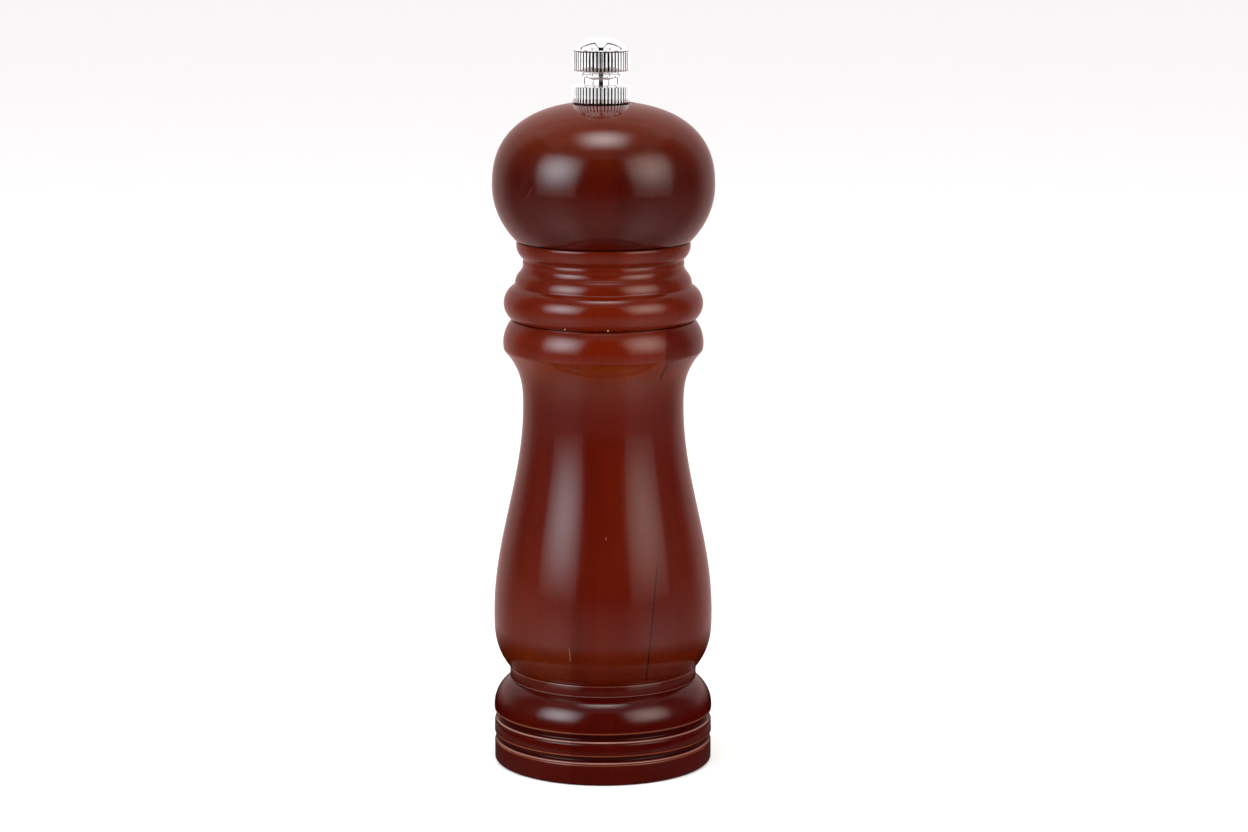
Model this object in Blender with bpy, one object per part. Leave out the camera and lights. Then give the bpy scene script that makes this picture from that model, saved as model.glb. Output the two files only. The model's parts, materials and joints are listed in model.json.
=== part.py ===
"""Turned wooden pepper mill: the head turns a square rod, and the rod turns a conical burr in a ring burr."""

import math

import bmesh
import bpy

MM = 0.001  # every size below is in millimetres; meshes are built in metres
FIT_GAP = 0.3  # clearance between neighbouring pieces

# Wood, outside
TOTAL_HEIGHT = 165.0
FOOT_RADIUS = 24.8
FOOT_GROOVES = ((5.1, 6.65), (9.85, 11.7))  # low and high edge of each turned groove
GROOVE_DEPTH = 1.0
TORUS_TOP = (21.2, 19.2)  # radius and height, as all pairs below
NECK_BAND_RADIUS = 21.25
NECK_BAND_TOP = 22.0
BELLY = (24.85, 34.6)
WAIST = (18.17, 82.3)
LOWER_BEAD_RIDGE = (22.45, 95.05)
BEAD_NICK = (20.6, 101.95)
UPPER_BEAD_TOP = (19.95, 109.7)
SMALL_BEAD_TOP = (18.86, 112.6)
NECK = (18.1, 114.15)
COLLAR_FOOT = (18.0, 115.65)
RIM_RADIUS = 19.6
RIM_TOP = 119.6
HEAD_BOTTOM = 119.95
HEAD_EQUATOR = (24.97, 132.1)
HEAD_LOWER_SEMI_AXIS = 20.1
HEAD_UPPER_SEMI_AXIS = 18.65
HEAD_FULLNESS = 2.4  # exponent of the upper half: 2 is an ellipse, more is squarer
HEAD_SEAT = (6.9, 149.9)  # flat under the knob
TORUS_BULGE = 1.2  # how far the middle of each arc stands outside its chord
LOWER_BEAD_BULGE = 0.83
UPPER_BEAD_BULGE = 2.17
SMALL_BEAD_BULGE = 0.29
NECK_HOLLOW = -0.12
NECK_BEAD_BULGE = 0.1
RIM_BULGE = 0.46
FLARE_POWER = 2.75  # how late the flare over the waist opens up to the ridge
SWELL_POWER = 3.0  # how soon the underside of the belly has opened up

# Wood, inside
CHAMBER_RADIUS = 12.6
FOOT_RECESS = (20.0, 6.4)
MILL_RECESS = (15.5, 19.4)
SPIGOT_RADIUS = CHAMBER_RADIUS - FIT_GAP
SPIGOT_BOTTOM = 109.6
HEAD_BORE_RADIUS = 3.85

# Rod
ROD_HALF_WIDTH = 2.5
ROD_SQUARE = (9.4, 147.6)  # bottom and top of the square length
ROD_ENDS = (2.0, 158.8)
THREAD_RADIUS = 1.95
THREAD_ROOT_RADIUS = 1.65
THREAD_PITCH = 0.7
JOURNAL_TOP = 5.6
SQUARE_HOLE = ROD_HALF_WIDTH + FIT_GAP
THREAD_HOLE = THREAD_RADIUS + FIT_GAP

# Knob
KNOB_BOTTOM = 150.65
KNOB_RING_RADIUS = 6.42
KNOB_LOWER_RING_TOP = 154.4
KNOB_WAIST_RADIUS = 4.42
KNOB_FLANGE = (4.8, 156.6, 157.15)  # radius, bottom, top
KNOB_UPPER_RING = (157.8, 161.9)
KNOB_DOME_FOOT = (5.35, 162.4)
KNOB_RIBS = 48
KNOB_RIB_DEPTH = 0.3
KNOB_BORE = (3.3, 160.7)

# Burrs
STATOR = (15.2, 6.4, 17.6)  # radius, bottom, top
STATOR_TEETH = 30
STATOR_THROAT = (  # radius, tooth depth, height and twist of the teeth, from the outlet up
    (12.2, 0.5, 6.4, 0.0),
    (11.3, 0.7, 9.2, 0.06),
    (10.9, 0.8, 11.2, 0.12),
    (10.6, 0.9, 14.0, 0.2),
    (11.6, 0.3, 17.6, 0.3),
)
ROTOR = (9.2, 19.8)
ROTOR_TEETH = 12
ROTOR_CONE = (  # the same for the cone
    (10.4, 0.6, 9.2, 0.0),
    (10.4, 0.9, 10.4, -0.15),
    (8.9, 1.5, 13.5, -0.5),
    (7.3, 1.8, 17.0, -1.0),
    (6.0, 1.4, 19.8, -1.3),
)

# Guide bridge, spring and washers
GUIDE_FOOT = (11.7, 15.2, 17.9, 19.1)  # inner radius, outer radius, bottom, top
GUIDE_HUB = (5.4, 28.5, 30.0)  # radius, bottom, top
GUIDE_HUB_HOLE = 3.85
GUIDE_LEG = (11.25, 12.2)  # inner and outer distance from the axis
GUIDE_ARM_WIDTH = 3.2
THRUST_WASHER = (5.6, 27.5, 28.2)
SPRING = (4.35, 21.2, 27.2)  # radius of the coil's centre line, bottom, top
SPRING_WIRE = 0.42
SPRING_TURNS = 4
SPRING_STEPS_PER_TURN = 14
SPRING_CUP = (5.7, 20.1, 20.9)
SPRING_CUP_RIM = 0.6  # height of the turned-up edge
ROTOR_WASHER = (4.6, 0.6)  # radius, thickness
NUT_HALF_WIDTH = 3.5
NUT_BOTTOM = 5.95

# Plates and screws
HOLDER = (13.0, 19.6, 4.9, 6.1)  # inner radius, outer radius, bottom, top
BAR = (19.3, 3.4, 3.4, 4.6)  # half length, half width, bottom, top
BAR_HUB_RADIUS = 5.2
BAR_HUB_DROP = 0.05  # keeps the hub's faces off the strip's, so that the two join cleanly
FOOT_SCREW_CIRCLE = 17.6
FOOT_SCREW_TOP = 13.5
SCREW_SHANK = 0.95
SCREW_HOLE = SCREW_SHANK + FIT_GAP
SCREW_HEAD = 1.9
SCREW_HEAD_HEIGHT = 0.95
DRIVE_PLATE = (11.2, 107.9, 109.3)
DRIVE_SCREW_OFFSET = 7.5
DRIVE_SCREW_TOP = 116.5
DRILL_TURN = 0.11  # keeps a drill's corners off the edges of the faces that it cuts
DRILL_SEGMENTS = 10
SCREW_SEGMENTS = 12

WOOD_SEGMENTS = 36
METAL_SEGMENTS = 24
FINE_SEGMENTS = 16


def clear_scene():
    for thing in list(bpy.data.objects):
        bpy.data.objects.remove(thing, do_unlink=True)


def material(name, colour, roughness, metallic):
    made = bpy.data.materials.new(name)
    made.use_nodes = True
    shader = made.node_tree.nodes["Principled BSDF"]
    shader.inputs["Base Color"].default_value = (*colour, 1.0)
    shader.inputs["Roughness"].default_value = roughness
    shader.inputs["Metallic"].default_value = metallic
    return made


def add_object(name, mesh, look, parent=None):
    mesh.materials.append(look)
    mesh.shade_smooth()
    mesh.set_sharp_from_angle(angle=math.radians(35))
    made = bpy.data.objects.new(name, mesh)
    bpy.context.scene.collection.objects.link(made)
    made.parent = parent
    return made


# Cross-sections: each returns the distance from the axis at an angle

def circle(radius):
    return lambda angle: radius


def square(half_width):
    return lambda angle: half_width / max(abs(math.cos(angle)), abs(math.sin(angle)))


def hexagon(half_width):
    def radius(angle):
        turned = (angle + math.pi / 6) % (math.pi / 3) - math.pi / 6
        return half_width / math.cos(turned)
    return radius


def toothed(radius, depth, count, phase=0.0):
    """A ridge on each of count equal steps round the circle, tips at radius.
    A negative depth cuts outwards."""
    def at(angle):
        step = ((angle + phase) * count / math.tau) % 1.0
        return radius - depth * (1 - abs(2 * step - 1))
    return at


def solid_of_sections(name, sections, segments, look, parent=None, closed=True):
    """Skin through cross-sections (section, height). closed joins the last to the first, as round a bore;
    otherwise the first and the last are capped by a point on the axis."""
    mesh_maker = bmesh.new()
    rings = []
    for section, height in sections:
        ring = []
        for step in range(segments):
            angle = math.tau * step / segments
            radius = section(angle)
            point = (radius * math.cos(angle) * MM, radius * math.sin(angle) * MM, height * MM)
            ring.append(mesh_maker.verts.new(point))
        rings.append(ring)
    pairs = list(zip(rings, rings[1:]))
    if closed:
        pairs.append((rings[-1], rings[0]))
    for low, high in pairs:
        for step in range(segments):
            after = (step + 1) % segments
            mesh_maker.faces.new((low[step], low[after], high[after], high[step]))
    if not closed:
        for ring, (_, height) in ((rings[0], sections[0]), (rings[-1], sections[-1])):
            centre = mesh_maker.verts.new((0, 0, height * MM))
            for step in range(segments):
                mesh_maker.faces.new((ring[step], ring[(step + 1) % segments], centre))
    bmesh.ops.recalc_face_normals(mesh_maker, faces=mesh_maker.faces)
    mesh = bpy.data.meshes.new(name)
    mesh_maker.to_mesh(mesh)
    mesh_maker.free()
    return add_object(name, mesh, look, parent)


def turned(name, outline, segments, look, parent=None, closed=True):
    """Solid of revolution of an outline of (radius, height) points."""
    sections = [(circle(radius), height) for radius, height in outline]
    return solid_of_sections(name, sections, segments, look, parent, closed)


def washer(name, inner, outer, bottom, top, look, parent=None, segments=METAL_SEGMENTS):
    sections = [(inner, bottom), (outer, bottom), (outer, top), (inner, top)]
    return solid_of_sections(name, sections, segments, look, parent)


def arc(start, end, bulge, steps):
    """Points after start along a circular arc to end; its middle stands bulge outside the chord."""
    chord = (end[0] - start[0], end[1] - start[1])
    length = math.hypot(*chord)
    radius = (length * length / 4 + bulge * bulge) / (2 * bulge)
    outward = (chord[1] / length, -chord[0] / length)
    centre = (
        (start[0] + end[0]) / 2 - outward[0] * (radius - bulge),
        (start[1] + end[1]) / 2 - outward[1] * (radius - bulge),
    )
    first = math.atan2(start[1] - centre[1], start[0] - centre[0])
    last = math.atan2(end[1] - centre[1], end[0] - centre[0])
    sweep = (last - first + math.pi) % math.tau - math.pi
    points = []
    for step in range(1, steps + 1):
        angle = first + sweep * step / steps
        points.append((centre[0] + abs(radius) * math.cos(angle), centre[1] + abs(radius) * math.sin(angle)))
    return points


def wave(start, end, steps):
    """Points after start along half a cosine wave: upright at both ends."""
    points = []
    for step in range(1, steps + 1):
        part = step / steps
        blend = (1 - math.cos(math.pi * part)) / 2
        points.append((start[0] + (end[0] - start[0]) * blend, start[1] + (end[1] - start[1]) * part))
    return points


def flare(start, end, steps):
    """Points after start, upright at first and opening faster and faster up to end."""
    points = []
    for step in range(1, steps + 1):
        part = step / steps
        radius = start[0] + (end[0] - start[0]) * part ** FLARE_POWER
        points.append((radius, start[1] + (end[1] - start[1]) * part))
    return points


def swell(start, end, steps):
    """Points after start, opening fast at first and upright at the end."""
    points = []
    for step in range(1, steps + 1):
        part = step / steps
        radius = end[0] - (end[0] - start[0]) * (1 - part) ** SWELL_POWER
        points.append((radius, start[1] + (end[1] - start[1]) * part))
    return points


def body_outline():
    """The outside from the foot up, over the rim, and down the chamber and the two recesses."""
    recess_radius, recess_top = FOOT_RECESS
    mill_radius, mill_top = MILL_RECESS
    points = [(recess_radius + 0.4, 0.0), (FOOT_RADIUS - 0.5, 0.0), (FOOT_RADIUS, 0.5)]
    for low, high in FOOT_GROOVES:
        points += [
            (FOOT_RADIUS, low),
            (FOOT_RADIUS - GROOVE_DEPTH, low + 0.5),
            (FOOT_RADIUS - GROOVE_DEPTH, high - 0.1),
            (FOOT_RADIUS + 0.05, high + 0.15),
        ]
    points += arc(points[-1], TORUS_TOP, TORUS_BULGE, 5)
    points += [(NECK_BAND_RADIUS - 0.35, TORUS_TOP[1] + 0.1), (NECK_BAND_RADIUS, TORUS_TOP[1] + 0.3)]
    points.append((NECK_BAND_RADIUS, NECK_BAND_TOP))
    points += swell(points[-1], BELLY, 6)
    points += wave(BELLY, WAIST, 10)
    points += flare(WAIST, LOWER_BEAD_RIDGE, 7)
    points += arc(LOWER_BEAD_RIDGE, BEAD_NICK, LOWER_BEAD_BULGE, 5)
    points += arc(BEAD_NICK, UPPER_BEAD_TOP, UPPER_BEAD_BULGE, 7)
    points += arc(UPPER_BEAD_TOP, SMALL_BEAD_TOP, SMALL_BEAD_BULGE, 3)
    points += arc(SMALL_BEAD_TOP, NECK, NECK_HOLLOW, 2)
    points += arc(NECK, COLLAR_FOOT, NECK_BEAD_BULGE, 2)
    points += arc(COLLAR_FOOT, (RIM_RADIUS, RIM_TOP - 0.6), RIM_BULGE, 3)
    points += [(RIM_RADIUS - 0.3, RIM_TOP), (CHAMBER_RADIUS + 0.5, RIM_TOP), (CHAMBER_RADIUS, RIM_TOP - 0.5)]
    points += [(CHAMBER_RADIUS, mill_top), (mill_radius, mill_top)]
    points += [(mill_radius, recess_top), (recess_radius, recess_top), (recess_radius, 0.4)]
    return points


def head_outline():
    """The ball from the spigot's bottom up to the seat of the knob, and down the bore."""
    equator_radius, equator_height = HEAD_EQUATOR
    seat_radius, seat_height = HEAD_SEAT
    points = [(HEAD_BORE_RADIUS, SPIGOT_BOTTOM), (SPIGOT_RADIUS - 0.6, SPIGOT_BOTTOM)]
    points += [(SPIGOT_RADIUS, SPIGOT_BOTTOM + 0.6), (SPIGOT_RADIUS, HEAD_BOTTOM)]
    lower_steps = 7
    for step in range(lower_steps + 1):
        height = HEAD_BOTTOM + 0.3 + (equator_height - HEAD_BOTTOM - 0.3) * step / lower_steps
        drop = (equator_height - height) / HEAD_LOWER_SEMI_AXIS
        points.append((equator_radius * math.sqrt(1 - drop * drop), height))
    points.insert(4, (points[4][0] - 0.3, HEAD_BOTTOM))
    upper_steps = 12
    power = 2 / HEAD_FULLNESS
    last_angle = math.acos((seat_radius / equator_radius) ** (1 / power))
    for step in range(1, upper_steps + 1):
        angle = last_angle * step / upper_steps
        radius = equator_radius * math.cos(angle) ** power
        points.append((radius, equator_height + HEAD_UPPER_SEMI_AXIS * math.sin(angle) ** power))
    points += [(seat_radius, seat_height), (HEAD_BORE_RADIUS, seat_height)]
    return points


def drill(target, holes, radius, bottom, top):
    """Round holes at (x, y), cut with a Boolean by guides that stay out of the build."""
    for x, y in holes:
        number = len(target.modifiers) + 1
        outline = [(radius, bottom), (radius, top)]
        guide = turned(f"{target.name}_drill_{number}", outline, DRILL_SEGMENTS, STEEL, closed=False)
        guide.location = (x * MM, y * MM, 0)
        guide.rotation_euler = (0, 0, DRILL_TURN)
        guide.hide_render = True
        guide.display_type = "WIRE"
        cut = target.modifiers.new(f"hole_{number}", "BOOLEAN")
        cut.operation = "DIFFERENCE"
        cut.solver = "EXACT"
        cut.object = guide


def join_pieces(name, shapes):
    """The first shape takes the others in, and they stay as guides."""
    for number, guide in enumerate(shapes[1:], 1):
        guide.hide_render = True
        guide.display_type = "WIRE"
        union = shapes[0].modifiers.new(f"union_{number}", "BOOLEAN")
        union.operation = "UNION"
        union.solver = "EXACT"
        union.object = guide
    shapes[0].name = name
    return shapes[0]


def block(name, low, high, look, turn=0.0):
    """A rectangular block between two corners, turned about the axis."""
    mesh_maker = bmesh.new()
    bmesh.ops.create_cube(mesh_maker, size=1.0)
    for vert in mesh_maker.verts:
        for axis in range(3):
            vert.co[axis] = (low[axis] if vert.co[axis] < 0 else high[axis]) * MM
    mesh = bpy.data.meshes.new(name)
    mesh_maker.to_mesh(mesh)
    mesh_maker.free()
    made = add_object(name, mesh, look)
    made.rotation_euler = (0, 0, turn)
    return made


def screw(name, x, y, head_bottom, top, look, parent=None):
    """Pan-head wood screw standing point up."""
    head_top = head_bottom + SCREW_HEAD_HEIGHT
    outline = [
        (SCREW_HEAD - 0.45, head_bottom),
        (SCREW_HEAD - 0.05, head_bottom + 0.35),
        (SCREW_HEAD, head_top),
        (SCREW_SHANK, head_top),
        (SCREW_SHANK, top - 1.6),
        (0.25, top),
    ]
    made = turned(name, outline, SCREW_SEGMENTS, look, parent, closed=False)
    made.location = (x * MM, y * MM, 0)
    return made


def knob_sections():
    """Two ribbed rings, a polished waist and a flange between them, a dome on top and a blind bore inside."""
    ring = KNOB_RING_RADIUS
    ribbed = toothed(ring, KNOB_RIB_DEPTH, KNOB_RIBS)
    flange_radius, flange_bottom, flange_top = KNOB_FLANGE
    ring_bottom, ring_top = KNOB_UPPER_RING
    dome_radius, dome_bottom = KNOB_DOME_FOOT
    bore_radius, bore_top = KNOB_BORE
    sections = [
        (circle(bore_radius), bore_top),
        (circle(bore_radius), KNOB_BOTTOM),
        (circle(ring - KNOB_RIB_DEPTH), KNOB_BOTTOM),
        (ribbed, KNOB_BOTTOM + 0.2),
        (ribbed, KNOB_LOWER_RING_TOP - 0.25),
        (circle(ring - KNOB_RIB_DEPTH - 0.15), KNOB_LOWER_RING_TOP),
        (circle(KNOB_WAIST_RADIUS), KNOB_LOWER_RING_TOP),
        (circle(KNOB_WAIST_RADIUS), flange_bottom),
        (circle(flange_radius), flange_bottom),
        (circle(flange_radius), flange_top),
        (circle(flange_radius - 0.25), flange_top + 0.1),
        (ribbed, ring_bottom),
        (ribbed, ring_top),
        (circle(dome_radius + 0.35), dome_bottom),
        (circle(dome_radius), dome_bottom),
    ]
    dome_steps = 4
    dome_height = TOTAL_HEIGHT - dome_bottom
    for step in range(1, dome_steps):
        angle = math.pi / 2 * step / dome_steps
        sections.append((circle(dome_radius * math.cos(angle)), dome_bottom + dome_height * math.sin(angle)))
    sections.append((circle(0.4), TOTAL_HEIGHT))
    return sections


def make_wood(turning):
    body = turned("body", body_outline(), WOOD_SEGMENTS, WOOD)
    ring = FOOT_SCREW_CIRCLE
    drill(body, [(ring, 0), (-ring, 0), (0, ring), (0, -ring)], SCREW_HOLE, 3.0, FOOT_SCREW_TOP + 0.6)
    head = turned("head", head_outline(), WOOD_SEGMENTS, WOOD, turning)
    holes = [(DRIVE_SCREW_OFFSET, 0), (-DRIVE_SCREW_OFFSET, 0)]
    drill(head, holes, SCREW_HOLE, SPIGOT_BOTTOM - 2, DRIVE_SCREW_TOP + 0.6)


def make_knob(turning):
    solid_of_sections("adjusting_knob", knob_sections(), 2 * KNOB_RIBS, CHROME, turning, closed=False)
    insert_radius = KNOB_BORE[0] - FIT_GAP
    knurled = toothed(insert_radius, 0.15, METAL_SEGMENTS // 2)
    insert_top = KNOB_BORE[1] - 2 * FIT_GAP
    washer("knob_insert", circle(THREAD_HOLE), knurled, KNOB_BOTTOM + 0.1, insert_top, BRASS, turning)
    seat_radius, seat_height = HEAD_SEAT
    washer("knob_washer", circle(THREAD_HOLE + 0.4), circle(seat_radius - 0.7), seat_height + 0.2,
           KNOB_BOTTOM - 0.2, DARK, turning)


def make_drive(turning):
    radius, bottom, top = DRIVE_PLATE
    plate = washer("drive_plate", square(SQUARE_HOLE), circle(radius), bottom, top, STEEL, turning)
    offset = DRIVE_SCREW_OFFSET
    drill(plate, [(offset, 0), (-offset, 0)], SCREW_HOLE, bottom - 1, top + 1)
    head_bottom = bottom - FIT_GAP - SCREW_HEAD_HEIGHT
    for number, side in ((1, offset), (2, -offset)):
        screw(f"drive_plate_screw_{number}", side, 0, head_bottom, DRIVE_SCREW_TOP, STEEL, turning)


def thread_sections(bottom, top):
    """Alternating roots and crests, one pair for each pitch."""
    sections = []
    for turn in range(int((top - bottom) / THREAD_PITCH)):
        height = bottom + turn * THREAD_PITCH
        sections.append((circle(THREAD_ROOT_RADIUS), height))
        sections.append((circle(THREAD_RADIUS), height + THREAD_PITCH / 2))
    return sections


def make_shaft(turning):
    """Journal, short thread for the nut, square length, long thread for the knob."""
    bottom, top = ROD_ENDS
    square_bottom, square_top = ROD_SQUARE
    sections = [(circle(THREAD_RADIUS - 0.4), bottom), (circle(THREAD_RADIUS), bottom + 0.4)]
    sections.append((circle(THREAD_RADIUS), JOURNAL_TOP))
    sections += thread_sections(JOURNAL_TOP + 0.2, square_bottom - 0.3)
    sections.append((circle(THREAD_ROOT_RADIUS), square_bottom))
    sections += [(square(ROD_HALF_WIDTH), square_bottom), (square(ROD_HALF_WIDTH), square_top)]
    sections += thread_sections(square_top, top - 0.4)
    sections.append((circle(THREAD_ROOT_RADIUS - 0.25), top))
    solid_of_sections("drive_shaft", sections, FINE_SEGMENTS, STEEL, turning, closed=False)


def make_burrs(turning):
    """The stator's throat is wide at the top, narrow at the teeth, and opens again towards the outlet."""
    radius, bottom, top = STATOR
    inner = []
    for throat, depth, height, twist in STATOR_THROAT:
        inner.append((toothed(throat, -depth, STATOR_TEETH, twist), height))
    outer = [(circle(radius), top), (circle(radius), bottom)]
    solid_of_sections("stator", inner + outer, 2 * STATOR_TEETH, BURR)
    rotor_bottom, rotor_top = ROTOR
    cone = []
    for tip, depth, height, twist in ROTOR_CONE:
        cone.append((toothed(tip, depth, ROTOR_TEETH, twist), height))
    bore = [(square(SQUARE_HOLE), rotor_top), (square(SQUARE_HOLE), rotor_bottom)]
    solid_of_sections("rotor", cone + bore, 4 * ROTOR_TEETH, BURR, turning)


def make_guide():
    """Three-armed bridge: a foot ring on the stator, legs, arms, and a hub round the rod."""
    inner, outer, bottom, top = GUIDE_FOOT
    hub_radius, hub_bottom, hub_top = GUIDE_HUB
    leg_inner, leg_outer = GUIDE_LEG
    half = GUIDE_ARM_WIDTH / 2
    shapes = [washer("guide_foot", circle(inner), circle(outer), bottom, top, STEEL)]
    shapes.append(washer("guide_hub", circle(GUIDE_HUB_HOLE), circle(hub_radius), hub_bottom, hub_top, STEEL))
    for number in range(3):
        turn = math.tau * number / 3 + math.pi / 2
        leg_low = (leg_inner, -half, bottom + 0.2)
        leg = block(f"guide_leg_{number}", leg_low, (leg_outer, half, hub_top), STEEL, turn)
        arm_low = (hub_radius - 0.9, -half * 0.96, hub_bottom + 0.05)
        arm_high = (leg_inner + 0.4, half * 0.96, hub_top - 0.05)
        arm = block(f"guide_arm_{number}", arm_low, arm_high, STEEL, turn)
        shapes += [leg, arm]
    join_pieces("shaft_guide", shapes)


def make_spring(turning):
    """Compression spring round the rod, from the cup to the thrust washer."""
    radius, bottom, top = SPRING
    steps = SPRING_STEPS_PER_TURN * SPRING_TURNS
    curve = bpy.data.curves.new("spring", "CURVE")
    curve.dimensions = "3D"
    curve.bevel_depth = SPRING_WIRE * MM
    curve.bevel_resolution = 1
    curve.use_fill_caps = True
    line = curve.splines.new("POLY")
    line.points.add(steps)
    low = bottom + SPRING_WIRE
    rise = top - bottom - 2 * SPRING_WIRE
    for step, point in enumerate(line.points):
        angle = math.tau * SPRING_TURNS * step / steps
        height = low + rise * step / steps
        point.co = (radius * math.cos(angle) * MM, radius * math.sin(angle) * MM, height * MM, 1)
    curve.materials.append(STEEL)
    spring = bpy.data.objects.new("spring", curve)
    bpy.context.scene.collection.objects.link(spring)
    spring.parent = turning


def make_washers_and_nut(turning):
    radius, bottom, top = THRUST_WASHER
    washer("thrust_washer", square(SQUARE_HOLE), circle(radius), bottom, top, STEEL, turning)
    radius, bottom, top = SPRING_CUP
    cup = [
        (square(SQUARE_HOLE), bottom),
        (circle(radius - 0.3), bottom),
        (circle(radius), bottom + 0.3),
        (circle(radius), top + SPRING_CUP_RIM),
        (circle(radius - 0.5), top + SPRING_CUP_RIM),
        (circle(radius - 0.5), top),
        (square(SQUARE_HOLE), top),
    ]
    solid_of_sections("spring_cup", cup, METAL_SEGMENTS, STEEL, turning)
    radius, thickness = ROTOR_WASHER
    top = ROTOR[0] - FIT_GAP
    washer("rotor_washer", circle(THREAD_HOLE), circle(radius), top - thickness, top, STEEL, turning)
    nut_top = top - thickness - FIT_GAP
    washer("rotor_nut", circle(THREAD_HOLE), hexagon(NUT_HALF_WIDTH), NUT_BOTTOM, nut_top, STEEL, turning)


def make_foot_plates():
    inner, outer, bottom, top = HOLDER
    ring = FOOT_SCREW_CIRCLE
    holder = washer("mill_holder", circle(inner), circle(outer), bottom, top, STEEL, segments=WOOD_SEGMENTS)
    drill(holder, [(ring, 0), (-ring, 0), (0, ring), (0, -ring)], SCREW_HOLE, bottom - 1, top + 1)
    half_length, half_width, bar_bottom, bar_top = BAR
    strip_low = (-half_length, -half_width, bar_bottom)
    strip = block("bar_strip", strip_low, (half_length, half_width, bar_top), STEEL)
    hub_outline = [(BAR_HUB_RADIUS, bar_bottom - BAR_HUB_DROP), (BAR_HUB_RADIUS, bar_top - BAR_HUB_DROP)]
    hub = turned("bar_hub", hub_outline, METAL_SEGMENTS, STEEL, closed=False)
    bar = join_pieces("retaining_bar", [strip, hub])
    drill(bar, [(0, 0)], THREAD_HOLE, bar_bottom - 1, bar_top + 1)
    drill(bar, [(ring, 0), (-ring, 0)], SCREW_HOLE, bar_bottom - 1, bar_top + 1)
    bar_head = bar_bottom - FIT_GAP - SCREW_HEAD_HEIGHT
    holder_head = bottom - FIT_GAP - SCREW_HEAD_HEIGHT
    for number, side in ((1, ring), (2, -ring)):
        screw(f"bar_screw_{number}", side, 0, bar_head, FOOT_SCREW_TOP, STEEL)
        screw(f"holder_screw_{number}", 0, side, holder_head, FOOT_SCREW_TOP, STEEL)


clear_scene()
WOOD = material("lacquered_wood", (0.105, 0.014, 0.006), 0.3, 0.0)
CHROME = material("chrome", (0.8, 0.8, 0.8), 0.08, 1.0)
BRASS = material("brass", (0.72, 0.5, 0.2), 0.3, 1.0)
STEEL = material("steel", (0.55, 0.55, 0.55), 0.35, 1.0)
DARK = material("dark_washer", (0.01, 0.01, 0.01), 0.6, 0.0)
BURR = material("burr_steel", (0.32, 0.32, 0.33), 0.45, 1.0)

turn_axis = bpy.data.objects.new("turn_axis", None)  # every turning piece turns about the mill's axis
bpy.context.scene.collection.objects.link(turn_axis)

make_wood(turn_axis)
make_knob(turn_axis)
make_drive(turn_axis)
make_shaft(turn_axis)
make_burrs(turn_axis)
make_guide()
make_spring(turn_axis)
make_washers_and_nut(turn_axis)
make_foot_plates()
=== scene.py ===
"""Looks of a turned wooden pepper mill: red-stained lacquered wood, a chromed knob, a steel mill inside."""

import json
import math

import bmesh
import bpy
from mathutils import Matrix, Vector


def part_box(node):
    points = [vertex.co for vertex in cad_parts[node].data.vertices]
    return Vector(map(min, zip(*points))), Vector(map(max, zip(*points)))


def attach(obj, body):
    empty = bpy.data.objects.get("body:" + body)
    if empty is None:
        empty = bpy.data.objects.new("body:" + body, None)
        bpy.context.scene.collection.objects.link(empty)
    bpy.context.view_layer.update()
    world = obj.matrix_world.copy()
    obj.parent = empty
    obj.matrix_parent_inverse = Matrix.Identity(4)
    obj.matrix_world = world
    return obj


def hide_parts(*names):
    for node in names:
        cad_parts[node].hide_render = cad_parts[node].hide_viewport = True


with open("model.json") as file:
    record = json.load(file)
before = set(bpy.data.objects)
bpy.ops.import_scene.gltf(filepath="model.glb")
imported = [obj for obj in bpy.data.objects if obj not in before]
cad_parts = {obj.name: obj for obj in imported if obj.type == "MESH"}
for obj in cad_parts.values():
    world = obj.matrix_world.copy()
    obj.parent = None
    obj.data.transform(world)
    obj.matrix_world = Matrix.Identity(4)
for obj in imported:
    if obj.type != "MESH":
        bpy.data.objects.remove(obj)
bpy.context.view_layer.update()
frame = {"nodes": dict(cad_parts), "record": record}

MM = 0.001
AXIS_SEGMENTS = 192
FINE_STEPS = 4  # how many times more points a turned outline has than a coarse one would

# Driving dimensions of the turned wood, in millimetres: radius and height
FOOT_RADIUS = 24.8
FOOT_GROOVES = ((5.4, 6.65), (10.15, 11.7))  # low and high edge of each turned groove
GROOVE_DEPTH = 1.0
TORUS_FOOT = (24.9, 12.8)
TORUS_TOP = (21.2, 19.2)
NECK_BAND_RADIUS = 21.25
NECK_BAND_TOP = 22.0
BELLY = (24.85, 34.6)
WAIST = (18.17, 82.3)
FLARE_POWER = 2.75
SWELL_POWER = 3.0
LOWER_BEAD_RIDGE = (22.45, 95.05)
BEAD_NICK = (20.6, 101.95)
UPPER_BEAD_TOP = (19.95, 109.7)
SMALL_BEAD_TOP = (18.86, 112.6)
NECK = (18.1, 114.15)
COLLAR_FOOT = (18.0, 115.65)
RIM_RADIUS = 19.6
RIM_TOP = 119.6
CHAMBER_RADIUS = 12.6
FOOT_RECESS = (20.0, 6.4)
MILL_RECESS = (15.5, 19.4)
HEAD_BOTTOM = 119.95
HEAD_EQUATOR = (24.97, 132.1)
HEAD_LOWER_SEMI_AXIS = 20.1
HEAD_UPPER_SEMI_AXIS = 18.65
HEAD_FULLNESS = 2.4
HEAD_SEAT = (6.9, 150.3)
SPIGOT = (12.3, 109.6)
HEAD_BORE_RADIUS = 3.85

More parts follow.
